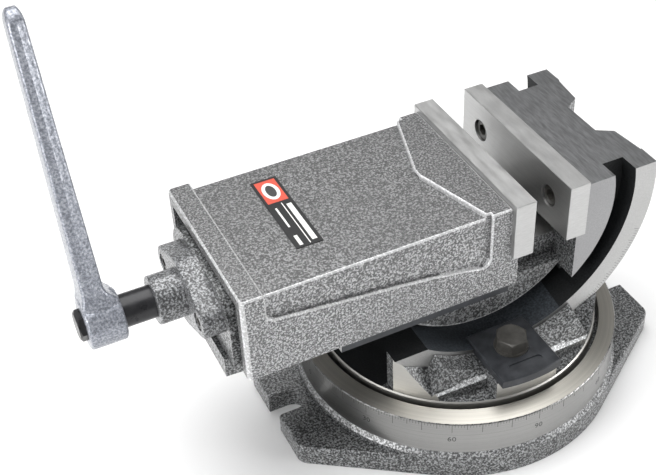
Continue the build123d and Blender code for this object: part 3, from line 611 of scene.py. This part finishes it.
# oval disc: an ellipse drawn twice, one above the other, with both ends filled
def ovalDisc(centre, radii, low, high, segments=48):
    a = np.linspace(0, 2 * np.pi, segments, endpoint=False)
    ring = np.stack([centre[0] + radii[0] * np.cos(a), centre[1] + radii[1] * np.sin(a)], axis=-1)
    points = np.concatenate([np.column_stack([ring, np.full(segments, low)]),
                             np.column_stack([ring, np.full(segments, high)])])
    faces = gridFaces(2, segments)
    faces += [list(range(segments))[::-1], list(range(segments, 2 * segments))]
    return points, faces


p = plateLook
plateCentre = (sum(p["redX"]) / 2, sum(p["redY"]) / 2)
plateLow, plateHigh = p["top"] - p["sink"], p["top"] + p["lift"]
redPoints, redFaces = flatPatch(p["redX"], p["redY"], plateLow, plateHigh)
makePiece("plate_block", redPoints / 1000, redFaces, redPrint, "moving_jaw")
whiteParts = [ovalDisc(plateCentre, p["oval"], plateLow, p["top"] + p["lift"] * 2)]
whiteParts += [flatPatch(xs, ys, plateLow, plateHigh) for xs, ys in p["rules"]]
whitePoints, whiteFaces = joinParts(whiteParts)
makePiece("plate_white", whitePoints / 1000, whiteFaces, whitePrint, "moving_jaw")
innerRadii = (p["oval"][0] - p["ovalInset"][0], p["oval"][1] - p["ovalInset"][1])
ovalPoints, ovalFaces = ovalDisc(plateCentre, innerRadii, p["top"], p["top"] + p["lift"] * 3)
makePiece("plate_oval", ovalPoints / 1000, ovalFaces, inkPrint, "moving_jaw")
print("stage: new pieces made")

# floor, lights and camera: sizes and places in metres, powers in watts
studio = dict(floorHalf=4.0, floorDrop=0.0002, worldStrength=0.30,
              worldLevels=((0.0, 1.0), (0.35, 0.75), (0.75, 0.5)),
              keyLight=((-0.15, 0.25, 1.5), (0, 0, 0.1), (1.7, 1.5), 34.0),
              leftLight=((-1.45, -0.45, 0.5), (0, 0, 0.12), (0.8, 0.7), 13.0),
              rightLight=((1.25, -1.0, 0.45), (0, 0, 0.1), (0.9, 0.7), 13.0))

floorMesh = bpy.data.meshes.new("floor")
half = studio["floorHalf"]
floorMesh.from_pydata([(-half, -half, 0), (half, -half, 0), (half, half, 0), (-half, half, 0)],
                      [], [(0, 1, 2, 3)])
floor = bpy.data.objects.new("floor", floorMesh)
bpy.context.scene.collection.objects.link(floor)
floorRecipe = Recipe("floorPaint")
floorMesh.materials.append(floorRecipe.finish((0.92, 0.92, 0.92), 0.7, specular=0.2))
floor.location.z = -studio["floorDrop"]

world = bpy.data.worlds.new("studio")
bpy.context.scene.world = world
world.use_nodes = True
backdrop = world.node_tree.nodes["Background"]
worldPlace = world.node_tree.nodes.new("ShaderNodeTexCoord")
worldSplit = world.node_tree.nodes.new("ShaderNodeSeparateXYZ")
worldRamp = world.node_tree.nodes.new("ShaderNodeValToRGB")
world.node_tree.links.new(worldPlace.outputs["Generated"], worldSplit.inputs[0])
world.node_tree.links.new(worldSplit.outputs["Z"], worldRamp.inputs["Fac"])
world.node_tree.links.new(worldRamp.outputs["Color"], backdrop.inputs["Color"])
worldRamp.color_ramp.elements.new(studio["worldLevels"][1][0])
for stop, (spot, level) in zip(worldRamp.color_ramp.elements, studio["worldLevels"]):
    stop.position = spot
    stop.color = (level, level, level, 1)
backdrop.inputs["Strength"].default_value = studio["worldStrength"]


def softbox(name, place, target, size, power):
    light = bpy.data.lights.new(name, "AREA")
    light.shape = "RECTANGLE"
    light.size, light.size_y = size
    light.energy = power
    lamp = bpy.data.objects.new(name, light)
    bpy.context.scene.collection.objects.link(lamp)
    lamp.location = place
    lamp.rotation_euler = (Vector(target) - Vector(place)).to_track_quat("-Z", "Y").to_euler()
    return lamp


for lightName in ("keyLight", "leftLight", "rightLight"):
    softbox(lightName, *studio[lightName])

cameraView = dict(place=(-0.31796, -0.52338, 0.61579), azimuth=23.502, elevation=-39.679,
                  roll=-3.2146, lens=66.692, sensor=36.0, clip=(0.01, 20))


# looks along the azimuth, clockwise from +Y, and the elevation, then rolls about that line
def cameraTurn(azimuth, elevation, roll):
    a, e, t = (math.radians(v) for v in (azimuth, elevation, roll))
    forward = Vector((math.sin(a) * math.cos(e), math.cos(a) * math.cos(e), math.sin(e)))
    right = Vector((math.cos(a), -math.sin(a), 0))
    up = right.cross(forward)
    rolledRight = right * math.cos(t) + up * math.sin(t)
    rolledUp = up * math.cos(t) - right * math.sin(t)
    return Matrix((rolledRight, rolledUp, -forward)).transposed()


cameraData = bpy.data.cameras.new("camera")
cameraData.lens = cameraView["lens"]
cameraData.sensor_width = cameraView["sensor"]
cameraData.clip_start, cameraData.clip_end = cameraView["clip"]
camera = bpy.data.objects.new("camera", cameraData)
bpy.context.scene.collection.objects.link(camera)
camera.location = cameraView["place"]
camera.rotation_euler = cameraTurn(cameraView["azimuth"], cameraView["elevation"],
                                   cameraView["roll"]).to_euler()
bpy.context.scene.camera = camera
bpy.context.scene.view_settings.view_transform = "Standard"
print("stage: studio ready")
